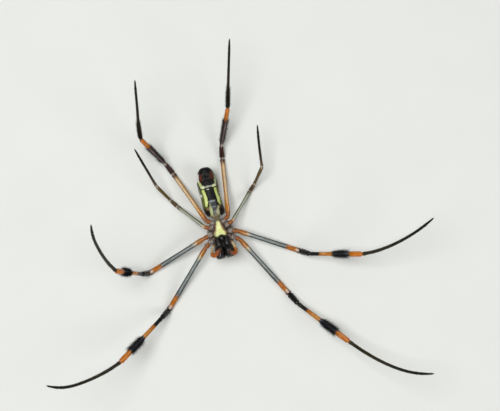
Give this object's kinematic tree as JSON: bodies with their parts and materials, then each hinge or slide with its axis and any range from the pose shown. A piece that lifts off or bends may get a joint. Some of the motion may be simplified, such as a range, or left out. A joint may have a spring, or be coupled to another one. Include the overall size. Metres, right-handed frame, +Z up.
{
  "type": "golden silk orb weaver",
  "caption": "Life-size still model of a long-legged orb weaver spider lying belly up with its legs spread and raised, for display.",
  "frame": {"origin": "middle of the small flat under the abdomen, on which the model rests", "axes": "+Z up and out of the belly, -Y towards the head, +Y towards the tail, +X to the picture's right"},
  "size_m": [0.1, 0.0907, 0.0336],
  "materials": {
    "carapace": "dark olive brown cuticle with short silver hair",
    "sternum": "pale yellow cuticle, satin",
    "black_cuticle": "black cuticle, satin",
    "coxa": "dark brown cuticle with pale patches",
    "femur_front": "dark grey green cuticle with a silvery sheen",
    "femur_hind": "orange tan cuticle, satin",
    "femur_third": "olive silver cuticle, satin",
    "tibia": "orange and black bands under black bristles",
    "foot": "dark brown to black cuticle",
    "palp": "orange red cuticle with fine hair",
    "abdomen": "black skin with greenish yellow stripes and silver flanks",
    "epigyne": "bluish grey cuticle, satin",
    "eye": "black, polished",
    "fang": "dark red brown, polished"
  },
  "bodies": {
    "root": {"abdomen": "abdomen", "cephalothorax": "carapace", "chelicera_left": "black_cuticle", "chelicera_right": "black_cuticle", "coxa_1_left": "coxa", "coxa_1_right": "coxa", "coxa_2_left": "coxa", "coxa_2_right": "coxa", "coxa_3_left": "coxa", "coxa_3_right": "coxa", "coxa_4_left": "coxa", "coxa_4_right": "coxa", "epigyne": "epigyne", "eye_back_middle_left": "eye", "eye_back_middle_right": "eye", "eye_back_side_left": "eye", "eye_back_side_right": "eye", "eye_front_middle_left": "eye", "eye_front_middle_right": "eye", "eye_front_side_left": "eye", "eye_front_side_right": "eye", "fang_left": "fang", "fang_right": "fang", "femur_1_left": "femur_front", "femur_1_right": "femur_front", "femur_2_left": "femur_front", "femur_2_right": "femur_front", "femur_3_left": "femur_third", "femur_3_right": "femur_third", "femur_4_left": "femur_hind", "femur_4_right": "femur_hind", "labium": "black_cuticle", "maxilla_left": "black_cuticle", "maxilla_right": "black_cuticle", "metatarsus_1_left": "foot", "metatarsus_1_right": "foot", "metatarsus_2_left": "foot", "metatarsus_2_right": "foot", "metatarsus_3_left": "foot", "metatarsus_3_right": "foot", "metatarsus_4_left": "foot", "metatarsus_4_right": "foot", "palp_left": "palp", "palp_right": "palp", "pedicel": "carapace", "spinnerets": "black_cuticle", "sternum": "sternum", "tibia_1_left": "tibia", "tibia_1_right": "tibia", "tibia_2_left": "tibia", "tibia_2_right": "tibia", "tibia_3_left": "tibia", "tibia_3_right": "tibia", "tibia_4_left": "tibia", "tibia_4_right": "tibia"}
  },
  "joints": []
}
